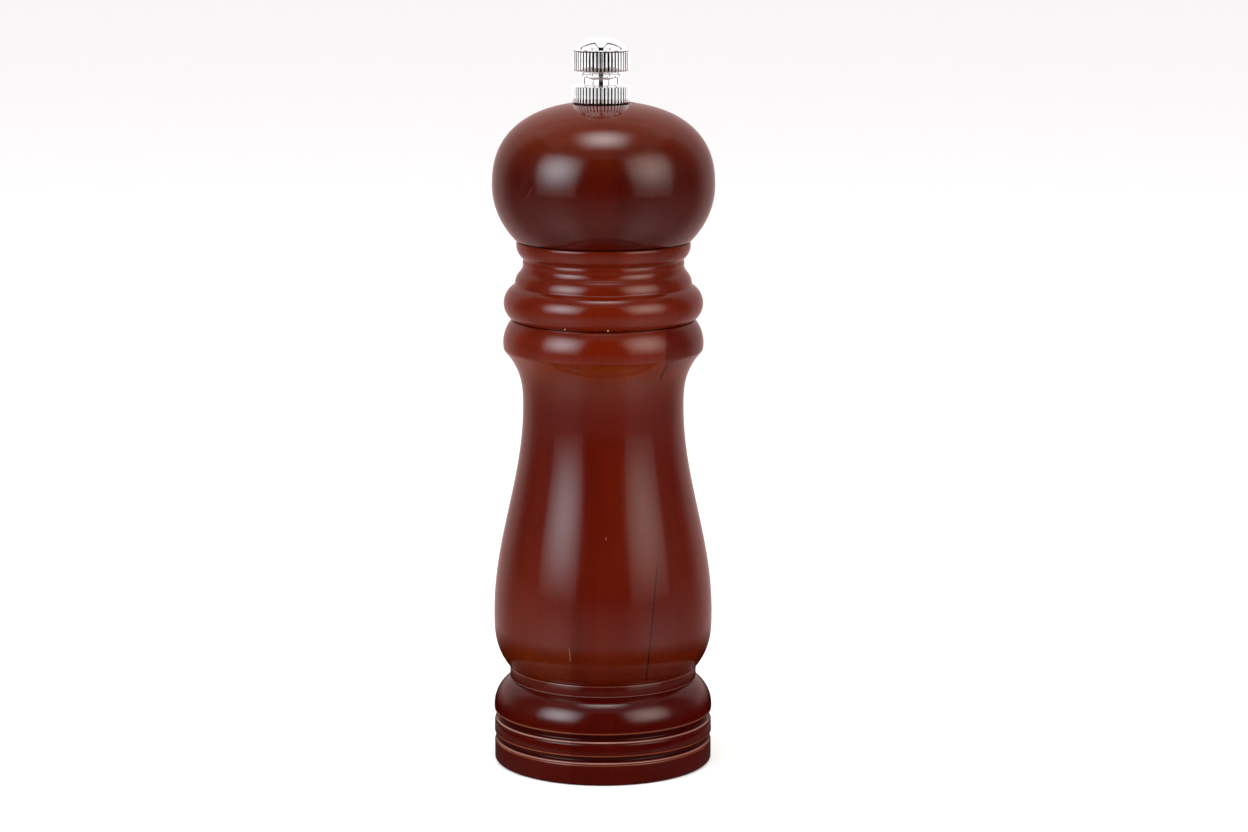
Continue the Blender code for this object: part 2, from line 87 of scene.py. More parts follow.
# Knob
KNOB_BOTTOM = 150.65
KNOB_TOP = 165.0
KNOB_RING = 6.42
KNOB_RIBS = 48
KNOB_RIB_DEPTH = 0.5
KNOB_WAIST = 4.42
KNOB_BORE = (3.3, 160.7)
KNOB_DOME = (5.36, 162.5)
KNOB_STEPS_PER_RIB = 12
KNURL_TOP_OF_LOW_RING = 154.25
KNURL_FOOT_OF_HIGH_RING = 157.75
KNURL_REACH = 5.75  # the painted groove shade lies no nearer to the knob's axis than this
KNOB_OFFSET = -0.6  # the knob sits a little to the left on the loose end of the rod
WASHER_BORE_RADIUS = 2.65
WASHER_RADIUS = 6.2
WASHER_EDGE = 0.3


# ---------------------------------------------------------------- geometry helpers

def arc(start, end, bulge, steps):
    """Points after start along a circular arc to end; its middle stands bulge outside the chord."""
    chord = (end[0] - start[0], end[1] - start[1])
    length = math.hypot(*chord)
    radius = (length * length / 4 + bulge * bulge) / (2 * bulge)
    outward = (chord[1] / length, -chord[0] / length)
    centre = (
        (start[0] + end[0]) / 2 - outward[0] * (radius - bulge),
        (start[1] + end[1]) / 2 - outward[1] * (radius - bulge),
    )
    first = math.atan2(start[1] - centre[1], start[0] - centre[0])
    last = math.atan2(end[1] - centre[1], end[0] - centre[0])
    sweep = (last - first + math.pi) % math.tau - math.pi
    points = []
    for step in range(1, steps + 1):
        angle = first + sweep * step / steps
        points.append((centre[0] + abs(radius) * math.cos(angle), centre[1] + abs(radius) * math.sin(angle)))
    return points


def wave(start, end, steps):
    """Points after start along half a cosine wave: upright at both ends."""
    points = []
    for step in range(1, steps + 1):
        part = step / steps
        blend = (1 - math.cos(math.pi * part)) / 2
        points.append((start[0] + (end[0] - start[0]) * blend, start[1] + (end[1] - start[1]) * part))
    return points


def flare(start, end, steps):
    """Points after start, upright at first and opening faster and faster up to end."""
    points = []
    for step in range(1, steps + 1):
        part = step / steps
        radius = start[0] + (end[0] - start[0]) * part ** FLARE_POWER
        points.append((radius, start[1] + (end[1] - start[1]) * part))
    return points


def swell(start, end, steps):
    """Points after start, opening fast at first and upright at the end."""
    points = []
    for step in range(1, steps + 1):
        part = step / steps
        radius = end[0] - (end[0] - start[0]) * (1 - part) ** SWELL_POWER
        points.append((radius, start[1] + (end[1] - start[1]) * part))
    return points


def eased(points, corner, reach):
    """The outline with the sharp corner that lies nearest to a point replaced by a small curve."""
    gaps = [math.dist(point, corner) for point in points]
    low = high = gaps.index(min(gaps))
    here = Vector(points[low])
    while math.dist(points[low], here) < reach:
        low -= 1
    while math.dist(points[high], here) < reach:
        high += 1
    start, end = Vector(points[low]), Vector(points[high])
    curve = []
    for part in (0.15, 0.3, 0.5, 0.7, 0.85):
        curve.append(tuple(start.lerp(here, part).lerp(here.lerp(end, part), part)))
    return points[:low + 1] + curve + points[high:]


def rounded(points, radii):
    """The outline with each corner that has a radius turned into a small arc of five points."""
    made = []
    last = len(points) - 1
    for index, point in enumerate(points):
        radius = radii.get(index, 0)
        if not radius or index in (0, last):
            made.append(point)
            continue
        here = Vector(point)
        back = Vector(points[index - 1]) - here
        ahead = Vector(points[index + 1]) - here
        reach_back = min(radius, back.length * 0.45)
        reach_ahead = min(radius, ahead.length * 0.45)
        start = here + back.normalized() * reach_back
        end = here + ahead.normalized() * reach_ahead
        for part in (0.0, 0.25, 0.5, 0.75, 1.0):
            spot = start.lerp(here, part).lerp(here.lerp(end, part), part)
            made.append((spot.x, spot.y))
    return made


def new_piece(name, mesh, body, material, cad_node):
    """A mesh that stands for a CAD node: smooth, riding on its body."""
    for look in (material if isinstance(material, (list, tuple)) else [material]):
        mesh.materials.append(look)
    mesh.shade_smooth()
    mesh.set_sharp_from_angle(angle=math.radians(38))
    piece = bpy.data.objects.new(name, mesh)
    bpy.context.scene.collection.objects.link(piece)
    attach(piece, body)
    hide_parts(cad_node)
    return piece


def skin(name, rows, closed=True):
    """Mesh through rows of points, each row a closed ring; closed joins the last row to the first,
    otherwise both ends are capped with a point in the middle."""
    maker = bmesh.new()
    rings = [[maker.verts.new(Vector(point) * MM) for point in row] for row in rows]
    pairs = list(zip(rings, rings[1:]))
    if closed:
        pairs.append((rings[-1], rings[0]))
    count = len(rings[0])
    for low, high in pairs:
        for step in range(count):
            after = (step + 1) % count
            maker.faces.new((low[step], low[after], high[after], high[step]))
    if not closed:
        for ring in (rings[0], rings[-1]):
            middle = sum((vert.co for vert in ring), Vector()) / count
            centre = maker.verts.new(middle)
            for step in range(count):
                maker.faces.new((ring[step], ring[(step + 1) % count], centre))
    bmesh.ops.recalc_face_normals(maker, faces=maker.faces)
    mesh = bpy.data.meshes.new(name)
    maker.to_mesh(mesh)
    maker.free()
    return mesh


def ring_points(section, height, count):
    """A closed ring of points at one height; section gives the radius at an angle."""
    points = []
    for step in range(count):
        angle = math.tau * step / count
        radius = section(angle)
        points.append((radius * math.cos(angle), radius * math.sin(angle), height))
    return points


def lathe(name, outline, count=AXIS_SEGMENTS, closed=True):
    """The mesh that an outline of radius and height sweeps round the axis."""
    rows = []
    for radius, height in outline:
        rows.append(ring_points(lambda angle, r=radius: r, height, count))
    return skin(name, rows, closed)


# ---------------------------------------------------------------- node helpers

def node_maker(tree):
    """A function that adds a node; inputs are values, or outputs to link from."""
    def make(kind, inputs=None, **settings):
        node = tree.nodes.new(kind)
        for key, value in settings.items():
            setattr(node, key, value)
        for key, value in (inputs or {}).items():
            socket = node.inputs[key]
            if isinstance(value, bpy.types.NodeSocket):
                tree.links.new(value, socket)
            else:
                socket.default_value = value
        return node
    return make


def new_material(name):
    material = bpy.data.materials.new(name)
    material.use_nodes = True
    tree = material.node_tree
    shader = tree.nodes["Principled BSDF"]
    return material, tree, shader, node_maker(tree)


def arithmetic(make, operation, first, second=0.0, clamp=False):
    node = make("ShaderNodeMath", {0: first, 1: second}, operation=operation, use_clamp=clamp)
    return node.outputs[0]


def product(make, first, second, clamp=False):
    return arithmetic(make, "MULTIPLY", first, second, clamp)


def total(make, first, second):
    return arithmetic(make, "ADD", first, second)


def ramp(make, factor, stops):
    """A colour ramp; stops are (position, colour)."""
    node = make("ShaderNodeValToRGB", {0: factor})
    elements = node.color_ramp.elements
    while len(elements) < len(stops):
        elements.new(0.5)
    for element, (position, colour) in zip(elements, stops):
        element.position = position
        element.color = (*colour, 1.0) if len(colour) == 3 else colour
    return node.outputs[0]


def grey(value):
    return (value, value, value)


def mix_colour(make, factor, first, second, blend="MIX"):
    node = make("ShaderNodeMix", data_type="RGBA", blend_type=blend)
    tree = node.id_data
    for index, value in ((0, factor), (6, first), (7, second)):
        if isinstance(value, bpy.types.NodeSocket):
            tree.links.new(value, node.inputs[index])
        elif index == 0:
            node.inputs[0].default_value = value
        else:
            node.inputs[index].default_value = (*value, 1.0)
    return node.outputs[2]


def stretched(make, scale, offset=(0, 0, 0)):
    """Object coordinates, scaled so that a texture's scale of 1 is one feature per unit of scale."""
    place = make("ShaderNodeTexCoord").outputs["Object"]
    return make("ShaderNodeMapping", {"Vector": place, "Scale": scale, "Location": offset}).outputs[0]


def noise(make, vector, detail=3.0, roughness=0.55, distortion=0.0):
    return make("ShaderNodeTexNoise", {
        "Vector": vector, "Scale": 1.0, "Detail": detail, "Roughness": roughness, "Distortion": distortion,
    }).outputs["Fac"]


def smooth_fall(make, value, end):
    """1 where value is 0, falling smoothly to 0 where it reaches end."""
    inputs = {0: value, 1: end, 2: 0.0, 3: 0.0, 4: 1.0}
    return make("ShaderNodeMapRange", inputs, interpolation_type="SMOOTHSTEP").outputs[0]


# ---------------------------------------------------------------- wood

TOTAL_HEIGHT = 165.0
STAIN = [(0.3, (0.040, 0.0022, 0.0004)), (0.52, (0.046, 0.0028, 0.0005)), (0.75, (0.052, 0.0036, 0.0007))]
BEECH = [(0.3, (0.36, 0.19, 0.09)), (0.55, (0.5, 0.29, 0.15)), (0.75, (0.58, 0.36, 0.2))]
NICK_SHADE = (0.25, 0.15, 0.15)
NICK_SHADE_HALF_WIDTH = 0.22
MARK_REACH = 0.6  # a mark fades out this part of its length away from its middle
MARK_END_SHARPNESS = 3.0
BEYOND_SHARPNESS = 2500.0  # per metre: the other tone beside a glue line takes over within 0.4 mm


def band(make, value, middle, half_width):
    """1 where value is within half_width of middle, falling smoothly to 0 at its edges."""
    away = arithmetic(make, "ABSOLUTE", arithmetic(make, "SUBTRACT", value, middle))
    return smooth_fall(make, away, half_width)


def straight_line(make, parts, foot, head):
    """Distance in metres to the right of a line on the front, between two (x, z) places in mm."""
    lean = (head[0] - foot[0]) / (head[1] - foot[1])
    along = product(make, arithmetic(make, "SUBTRACT", parts.outputs[2], foot[1] * MM), lean)
    return arithmetic(make, "SUBTRACT", parts.outputs[0], total(make, along, foot[0] * MM))


def marked(make, colour, parts, front, mark):
    """The colour with one glue line or scratch drawn over it; front is 1 on the front half."""
    foot, head, half_width, tone, beyond_tone = mark
    beside = straight_line(make, parts, foot, head)
    middle = (foot[1] + head[1]) / 2
    reach = band(make, parts.outputs[2], middle * MM, (head[1] - foot[1]) * MARK_REACH * MM)
    reach = product(make, product(make, reach, front), MARK_END_SHARPNESS, True)
    if beyond_tone:
        side = total(make, product(make, beside, BEYOND_SHARPNESS), 0.5)
        beyond = ramp(make, side, [(0.0, grey(0)), (1.0, grey(1))])
        colour = mix_colour(make, product(make, beyond, reach), colour, beyond_tone, "MULTIPLY")
    line = product(make, band(make, beside, 0.0, half_width * MM), reach)
    return mix_colour(make, line, colour, tone)


def lacquered_wood(name, offset, painted_light_by_height, edges, marks):
    """Red mahogany stain under a clear satin-gloss coat, with fine upright grain.
    Its tones by height are painted light and shade over the stain; edges and marks are what that piece alone
    shows:
    rings round it (worn edges, and painted highlights and shade), and glue lines or scratches on its front."""
    material, tree, shader, make = new_material(name)
    fibres = noise(make, stretched(make, (900, 900, 22), offset), 4.0, 0.6)
    pores = noise(make, stretched(make, (2600, 2600, 70), offset), 2.0, 0.5)
    clouds = noise(make, stretched(make, (70, 70, 12), offset), 3.0, 0.5, 0.6)
    turning = noise(make, stretched(make, (60, 60, 2400), offset), 3.0, 0.6)
    place = make("ShaderNodeTexCoord").outputs["Object"]
    parts = make("ShaderNodeSeparateXYZ", {0: place})
    height = parts.outputs[2]
    level = arithmetic(make, "DIVIDE", height, TOTAL_HEIGHT * MM)
    stops = [(top / TOTAL_HEIGHT, tone) for top, tone in painted_light_by_height]
    # painted light and shade by height, multiplied over the stain
    colour = mix_colour(make, 1.0, ramp(make, clouds, STAIN), ramp(make, level, stops), "MULTIPLY")
    nick = band(make, height, BEAD_NICK[1] * MM, NICK_SHADE_HALF_WIDTH * MM)
    colour = mix_colour(make, nick, colour, NICK_SHADE, "MULTIPLY")
    streak = ramp(make, fibres, [(0.3, grey(0.86)), (0.5, grey(1.0)), (0.75, grey(1.1))])
    colour = mix_colour(make, 0.8, colour, streak, "MULTIPLY")
    speck = ramp(make, pores, [(0.3, grey(0.6)), (0.4, grey(1.0))])
    colour = mix_colour(make, 0.18, colour, speck, "MULTIPLY")
    # rings round the piece: worn edges, painted lip highlights and a painted shade line
    for middle, half_width, tone in edges:
        colour = mix_colour(make, band(make, height, middle * MM, half_width * MM), colour, tone)
    front = arithmetic(make, "LESS_THAN", parts.outputs[1], 0.0)
    for mark in marks:
        colour = marked(make, colour, parts, front, mark)
    tree.links.new(colour, shader.inputs["Base Color"])
    tree.links.new(ramp(make, fibres, [(0.3, grey(0.6)), (0.7, grey(0.5))]), shader.inputs["Roughness"])
    grain = total(make, product(make, fibres, 0.6), product(make, pores, 0.25))
    bump = make("ShaderNodeBump", {"Height": grain, "Strength": 0.035, "Distance": 0.0002})
    tree.links.new(bump.outputs[0], shader.inputs["Normal"])
    film = total(make, product(make, fibres, 0.4), product(make, turning, 0.5))
    ripple = make("ShaderNodeBump", {"Height": film, "Strength": 0.018, "Distance": 0.0002})
    tree.links.new(ripple.outputs[0], shader.inputs["Coat Normal"])
    shader.inputs["Specular IOR Level"].default_value = 0.0
    shader.inputs["Coat Weight"].default_value = 1.0
    shader.inputs["Coat Roughness"].default_value = 0.12
    shader.inputs["Coat IOR"].default_value = 1.45
    return material


def bare_wood(name):
    """Unfinished beech inside the chamber and the foot's recess."""
    material, tree, shader, make = new_material(name)
    fibres = noise(make, stretched(make, (800, 800, 30)), 4.0, 0.6)
    flecks = noise(make, stretched(make, (3000, 3000, 260)), 1.0, 0.4)
    base = ramp(make, fibres, BEECH)
    fleck = ramp(make, flecks, [(0.3, grey(0.6)), (0.42, grey(1.0))])
    tree.links.new(mix_colour(make, 0.7, base, fleck, "MULTIPLY"), shader.inputs["Base Color"])
    shader.inputs["Roughness"].default_value = 0.75
    bump = make("ShaderNodeBump", {"Height": fibres, "Strength": 0.3, "Distance": 0.0003})
    tree.links.new(bump.outputs[0], shader.inputs["Normal"])
    return material


# ---------------------------------------------------------------- metal

DARKEST_METAL = 0.75


def metal(name, colour, roughness, spread, scale, bump_strength):
    """Metal with fine directional marks and slight uneven tone; scale stretches the marks."""
    material, tree, shader, make = new_material(name)
    marks = noise(make, stretched(make, scale), 4.0, 0.6)
    clouds = noise(make, stretched(make, (250, 250, 250)), 3.0, 0.6)
    tone = ramp(make, clouds, [(0.3, tuple(part * DARKEST_METAL for part in colour)), (0.65, colour)])
    tree.links.new(tone, shader.inputs["Base Color"])
    polish = ramp(make, marks, [(0.3, grey(roughness)), (0.7, grey(roughness + spread))])
    tree.links.new(polish, shader.inputs["Roughness"])
    bump = make("ShaderNodeBump", {"Height": marks, "Strength": bump_strength, "Distance": 0.0001})
    tree.links.new(bump.outputs[0], shader.inputs["Normal"])
    shader.inputs["Metallic"].default_value = 1.0
    return material


def chrome(name):
    """Bright plating with faint polishing marks; the bottoms of the knurl's grooves are painted near black as
    shade.
    """
    material, tree, shader, make = new_material(name)
    place = make("ShaderNodeTexCoord").outputs["Object"]
    parts = make("ShaderNodeSeparateXYZ", {0: place})
    from_knob_axis = arithmetic(make, "SUBTRACT", parts.outputs[0], KNOB_OFFSET * MM)
    flat = make("ShaderNodeCombineXYZ", {0: from_knob_axis, 1: parts.outputs[1], 2: 0.0}).outputs[0]
    reach = make("ShaderNodeVectorMath", {0: flat}, operation="LENGTH").outputs["Value"]
    depth = arithmetic(make, "DIVIDE", reach, KNOB_RING * MM)
    groove = ramp(make, depth, [(0.972, grey(1)), (0.983, grey(0))])
    low_ring = arithmetic(make, "LESS_THAN", parts.outputs[2], KNURL_TOP_OF_LOW_RING * MM)
    high_ring = arithmetic(make, "GREATER_THAN", parts.outputs[2], KNURL_FOOT_OF_HIGH_RING * MM)
    outer = arithmetic(make, "GREATER_THAN", reach, KNURL_REACH * MM)
    # painted shade: the bottoms of the knurl's grooves on both rings go near black
    groove_shade = product(make, groove, product(make, total(make, low_ring, high_ring), outer))
    marks = noise(make, stretched(make, (900, 900, 900)), 3.0, 0.6)
    tree.links.new(mix_colour(make, groove_shade, (0.95, 0.95, 0.96), grey(0.03)), shader.inputs["Base Color"])
    tree.links.new(ramp(make, marks, [(0.3, grey(0.03)), (0.7, grey(0.08))]), shader.inputs["Roughness"])
    shader.inputs["Metallic"].default_value = 1.0
    return material


def dark_rubber(name):
    material, tree, shader, make = new_material(name)
    grain = noise(make, stretched(make, (4000, 4000, 4000)), 2.0, 0.5)
    tree.links.new(ramp(make, grain, [(0.3, grey(0.006)), (0.7, grey(0.014))]), shader.inputs["Base Color"])
    shader.inputs["Roughness"].default_value = 0.6
    return material


# Painted shade on the foot and in its grooves, and a painted paler sheen on the neck band
FOOT_PAINTED_SHADE = (0.9, 0.58, 0.5)
NECK_PAINTED_SHEEN = (1.05, 1.1, 1.3)
GROOVE_PAINTED_SHADE = (0.6, 0.4, 0.4)
BODY_PAINTED_LIGHT_AND_SHADE = [  # by height in mm; painted light and shade: lighter and more orange on the beads and under the belly, which face the lit table, a paler sheen on the neck band, darker on the foot and in its grooves
    (0.0, FOOT_PAINTED_SHADE), (5.2, FOOT_PAINTED_SHADE), (5.6, GROOVE_PAINTED_SHADE), (6.6, GROOVE_PAINTED_SHADE), (7.2, FOOT_PAINTED_SHADE), (9.9, FOOT_PAINTED_SHADE),
    (10.4, GROOVE_PAINTED_SHADE), (11.6, GROOVE_PAINTED_SHADE), (12.2, FOOT_PAINTED_SHADE),
    (19.0, FOOT_PAINTED_SHADE), (19.8, NECK_PAINTED_SHEEN), (21.9, NECK_PAINTED_SHEEN),
    (22.6, (1.3, 2.0, 1.0)), (28.0, (1.45, 2.6, 1.3)), (35.0, (1.5, 1.75, 1.0)), (42.0, (1.5, 1.6, 0.9)),
    (56.0, (1.27, 1.15, 0.7)), (82.0, (1.26, 0.95, 0.6)), (89.0, (1.45, 2.0, 1.2)), (94.0, (2.2, 4.1, 2.3)),
    (95.3, (1.8, 1.9, 0.7)), (113.0, (1.75, 2.0, 0.6)), (119.3, (1.55, 1.7, 0.6)),
]
# Painted light from above: the head gets lighter and more orange towards its top, darker below
HEAD_PAINTED_TOP_LIGHT = [
    (0.0, (0.76, 0.56, 0.5)), (136.0, (0.76, 0.56, 0.5)), (141.0, (1.05, 1.4, 0.7)), (147.0, (1.6, 2.7, 1.4)),
]
BARE_EDGE = (0.15, 0.04, 0.014)
LIP_PAINTED_HIGHLIGHT = (0.24, 0.13, 0.1)  # a painted highlight along the groove lips, white as the top light
BODY_EDGES = [  # turned edges where the colour is worn off, with painted highlights on the groove lips and a painted shade line over the neck band: height, half width, tone
    (4.72, 0.16, BARE_EDGE), (5.14, 0.24, LIP_PAINTED_HIGHLIGHT), (6.88, 0.26, BARE_EDGE), (9.95, 0.24, LIP_PAINTED_HIGHLIGHT),
    (11.98, 0.26, BARE_EDGE), (19.52, 0.26, (0.16, 0.08, 0.065)), (21.95, 0.22, (0.13, 0.035, 0.02)),
    # a dark ring painted as shade in the crease at the neck band's top
    (22.2, 0.2, (0.012, 0.001, 0.0003)),
]
DARK_GLUE = (0.006, 0.001, 0.001)
PALE_SCRATCH = (0.2, 0.09, 0.06)
# Glue lines, scratches and specks of dust: lower end, upper end, half width, tone,
# and how much darker the wood on the right of it is, if it is
BODY_MARKS = [
    ((13.9, 92.0), (14.25, 102.0), 0.15, DARK_GLUE, (0.68, 0.5, 0.8)),
    ((12.7, 90.2), (13.9, 94.0), 0.26, DARK_GLUE, None),
    ((9.4, 20.0), (12.4, 52.0), 0.26, (0.012, 0.001, 0.001), (0.95, 0.9, 0.9)),
    ((-6.9, 0.0), (-6.6, 48.0), 0.08, (0.024, 0.001, 0.001), (0.86, 0.66, 0.7)),
    ((-8.35, 102.1), (-8.3, 102.5), 0.18, (0.5, 0.42, 0.38), None),
    ((1.1, 102.1), (1.15, 102.5), 0.25, (0.6, 0.5, 0.45), None),
    ((-7.1, 28.2), (-7.4, 31.6), 0.09, PALE_SCRATCH, None),
    ((0.75, 55.6), (0.8, 56.2), 0.14, PALE_SCRATCH, None),
]
HEAD_MARKS = [
    ((-17.6, 131.0), (-14.9, 135.6), 0.15, (0.008, 0.001, 0.001), None),
    ((-18.0, 131.8), (-15.6, 135.8), 0.12, (0.008, 0.001, 0.001), None),
    ((-17.0, 130.8), (-15.2, 133.9), 0.06, (0.1, 0.035, 0.02), None),
]

WOOD = lacquered_wood("lacquered_wood", (0, 0, 0), BODY_PAINTED_LIGHT_AND_SHADE, BODY_EDGES, BODY_MARKS)
HEAD_WOOD = lacquered_wood("lacquered_wood_head", (0.37, 0.21, 0.05), HEAD_PAINTED_TOP_LIGHT, [], HEAD_MARKS)
RAW_WOOD = bare_wood("bare_wood")
CHROME = chrome("chrome")
BRASS = metal("brass", (0.72, 0.5, 0.2), 0.25, 0.2, (1500, 1500, 1500), 0.1)
STEEL = metal("zinc_steel", (0.6, 0.6, 0.62), 0.28, 0.2, (1200, 1200, 90), 0.15)
BURR = metal("burr_steel", (0.3, 0.3, 0.31), 0.38, 0.22, (1500, 1500, 600), 0.25)
RUBBER = dark_rubber("dark_washer")


# ---------------------------------------------------------------- wooden pieces

def nick_between_beads():
    """The narrow slot that the parting tool left between the two beads."""
    radius, height = BEAD_NICK
    return [
        (radius + 0.16, height - 0.24),
        (radius + 0.04, height - 0.13),
        (radius - 0.12, height - 0.07),
        (radius - 0.45, height - 0.06),
        (radius - 0.45, height + 0.06),
    ]


def body_outside():
    """From the foot's resting ring up to the rim."""
    fine = FINE_STEPS
    foot = [(20.4, 0.0), (FOOT_RADIUS - 0.5, 0.0), (FOOT_RADIUS, 0.5)]
    corners = {1: 0.3, 2: 0.3}
    for low, high in FOOT_GROOVES:
        for step, reach in enumerate((0.1, 0.08, 0.1, 0.1, 0.2, 0.2, 0.08, 0.15)):
            corners[len(foot) + step] = reach
        foot += [
            (FOOT_RADIUS, low - 0.8),
            (FOOT_RADIUS - 0.14, low - 0.63),
            (FOOT_RADIUS - 0.14, low - 0.26),
            (FOOT_RADIUS - 0.48, low + 0.06),
            (FOOT_RADIUS - GROOVE_DEPTH, low + 0.2),
            (FOOT_RADIUS - GROOVE_DEPTH, high - 0.1),
            (FOOT_RADIUS - 0.2, high - 0.05),
            (FOOT_RADIUS + 0.05, high + 0.15),
        ]
    points = rounded(foot + [TORUS_FOOT], corners)[:-1]
    points += arc(points[-1], TORUS_TOP, 1.2, 7 * fine)
    points += [(NECK_BAND_RADIUS - 0.3, TORUS_TOP[1] + 0.1), (NECK_BAND_RADIUS, TORUS_TOP[1] + 0.35)]
    points += [(NECK_BAND_RADIUS + 0.02, NECK_BAND_TOP - 0.15), (NECK_BAND_RADIUS - 0.05, NECK_BAND_TOP)]
    points += swell(points[-1], BELLY, 7 * fine)
    points += wave(BELLY, WAIST, 10 * fine)
    points += flare(WAIST, LOWER_BEAD_RIDGE, 16 * fine)
    points += arc(LOWER_BEAD_RIDGE, BEAD_NICK, 0.83, 10 * fine)
    points[-1:] = nick_between_beads()
    points += arc(BEAD_NICK, UPPER_BEAD_TOP, 2.17, 12 * fine)
    points += arc(UPPER_BEAD_TOP, SMALL_BEAD_TOP, 0.29, 5 * fine)
    points += arc(SMALL_BEAD_TOP, NECK, -0.12, 3 * fine)
    points += arc(NECK, COLLAR_FOOT, 0.1, 3 * fine)
    points += arc(COLLAR_FOOT, (RIM_RADIUS, RIM_TOP - 0.6), 0.46, 5 * fine)
    points += arc(points[-1], (RIM_RADIUS - 0.3, RIM_TOP), 0.1, 3)
    softened = (
        (LOWER_BEAD_RIDGE, 0.35), (UPPER_BEAD_TOP, 0.2), (SMALL_BEAD_TOP, 0.14),
        (NECK, 0.2), (COLLAR_FOOT, 0.22),
    )
    for corner, reach in softened:
        points = eased(points, corner, reach)
    return points


def make_body():
    outside = body_outside()
    recess_radius, recess_top = FOOT_RECESS
    mill_radius, mill_top = MILL_RECESS
    inside = [(CHAMBER_RADIUS + 0.5, RIM_TOP), (CHAMBER_RADIUS, RIM_TOP - 0.5), (CHAMBER_RADIUS, mill_top)]
    inside += [(mill_radius, mill_top), (mill_radius, recess_top)]
    inside += [(recess_radius, recess_top), (recess_radius, 0.4)]
    mesh = lathe("mill_body", outside + inside)
    piece = new_piece("mill_body", mesh, "body", [WOOD, RAW_WOOD], "body")
    for face in mesh.polygons:
        centre = face.center
        reach = math.hypot(centre.x, centre.y)
        bored = reach < (CHAMBER_RADIUS + 0.1) * MM
        under = centre.z < mill_top * MM and reach < (recess_radius - 0.1) * MM
        face.material_index = 1 if bored or under else 0
    return piece


def head_outside():
    equator_radius, equator_height = HEAD_EQUATOR
    points = []
    low = HEAD_BOTTOM + 0.35
    steps = 7 * FINE_STEPS
    for step in range(steps + 1):
        height = low + (equator_height - low) * step / steps
        drop = (equator_height - height) / HEAD_LOWER_SEMI_AXIS
        points.append((equator_radius * math.sqrt(1 - drop * drop), height))
    power = 2 / HEAD_FULLNESS
    last_angle = math.acos((HEAD_SEAT[0] / equator_radius) ** (1 / power))
    steps = 14 * FINE_STEPS
    for step in range(1, steps + 1):
        angle = last_angle * step / steps
        radius = equator_radius * math.cos(angle) ** power
        points.append((radius, equator_height + HEAD_UPPER_SEMI_AXIS * math.sin(angle) ** power))
    return points


def make_head():
    outside = head_outside()
    spigot_radius, spigot_bottom = SPIGOT
    under = [(HEAD_BORE_RADIUS, spigot_bottom), (spigot_radius - 0.6, spigot_bottom)]
    under += [(spigot_radius, spigot_bottom + 0.6), (spigot_radius, HEAD_BOTTOM)]
    under.append((outside[0][0] - 0.35, HEAD_BOTTOM))
    top = [HEAD_SEAT, (HEAD_BORE_RADIUS, HEAD_SEAT[1])]
    mesh = lathe("mill_head", under + outside + top)
    piece = new_piece("mill_head", mesh, "head", [HEAD_WOOD, RAW_WOOD], "head")
    for face in mesh.polygons:
        reach = math.hypot(face.center.x, face.center.y)
        hidden = face.center.z < HEAD_BOTTOM * MM - 0.0001 or reach < (HEAD_BORE_RADIUS + 0.1) * MM
        face.material_index = 1 if hidden else 0
    return piece


# ---------------------------------------------------------------- knob

def knob_outline():
    """Radius and height from the bore's rim up to the dome; the ribs are cut into the two rings."""
    ring = KNOB_RING
    outline = [(ring - 0.35, KNOB_BOTTOM), (ring - 0.1, KNOB_BOTTOM + 0.04), (ring, KNOB_BOTTOM + 0.14)]
    outline += [(ring, 152.4), (ring, 154.1), (ring - 0.08, 154.24), (ring - 0.3, 154.36)]
    outline += [(ring - 0.75, 154.44)]
    outline += [(KNOB_WAIST + 0.9, 154.48), (KNOB_WAIST + 0.25, 154.54), (KNOB_WAIST + 0.06, 154.7)]
    outline += [(KNOB_WAIST, 155.0), (KNOB_WAIST, 156.3)]
    outline += [(KNOB_WAIST + 0.05, 156.44), (KNOB_WAIST + 0.2, 156.54)]
    outline += [(4.76, 156.6), (4.84, 156.7), (4.84, 157.0), (4.76, 157.1), (4.6, 157.16), (4.6, 157.3)]
    outline += [(5.0, 157.4), (5.6, 157.52), (6.1, 157.68), (6.34, 157.84), (ring - 0.02, 158.0)]
    outline += [(ring - 0.02, 160.0), (ring - 0.02, 161.75), (6.34, 161.92), (6.15, 162.06), (5.85, 162.2)]
    outline += [(5.6, 162.3), (5.42, 162.36), (5.36, 162.45)]
    dome_radius, dome_bottom = KNOB_DOME
    steps = 14
    for step in range(1, steps):
        angle = math.pi / 2 * step / steps
        height = dome_bottom + (KNOB_TOP - dome_bottom) * math.sin(angle)
        outline.append((dome_radius * math.cos(angle), height))
    outline.append((0.25, KNOB_TOP))
    return outline


def knob_section(radius):
    """A smooth circle, cut by the ribs' grooves where the radius reaches them."""
    def at(angle):
        step = (angle * KNOB_RIBS / math.tau) % 1.0
        across = abs(2 * step - 1)  # 1 at the middle of a groove, 0 on the crest of a rib
        crest = KNOB_RING - 0.15 * across * across
        groove = KNOB_RIB_DEPTH * max(0.0, (across - 0.45) / 0.55) ** 1.4
        return min(radius, crest - groove)
    return at


def make_knob():
    count = KNOB_RIBS * KNOB_STEPS_PER_RIB
    bore_radius, bore_top = KNOB_BORE
    rows = [ring_points(lambda angle: bore_radius, height, count) for height in (bore_top, KNOB_BOTTOM)]
    outline = knob_outline()
    for low, high in zip(outline, outline[1:]):
        rows.append(ring_points(knob_section(low[0]), low[1], count))
        if abs(high[0] - low[0]) > 0.12 and low[0] > 5.4:
            middle = ((low[0] + high[0]) / 2, (low[1] + high[1]) / 2)
            rows.append(ring_points(knob_section(middle[0]), middle[1], count))
    rows.append(ring_points(knob_section(outline[-1][0]), outline[-1][1], count))
    mesh = skin("knurled_knob", rows, closed=False)
    mesh.transform(Matrix.Translation((KNOB_OFFSET * MM, 0, 0)))
    return new_piece("knurled_knob", mesh, "knob", CHROME, "adjusting_knob")


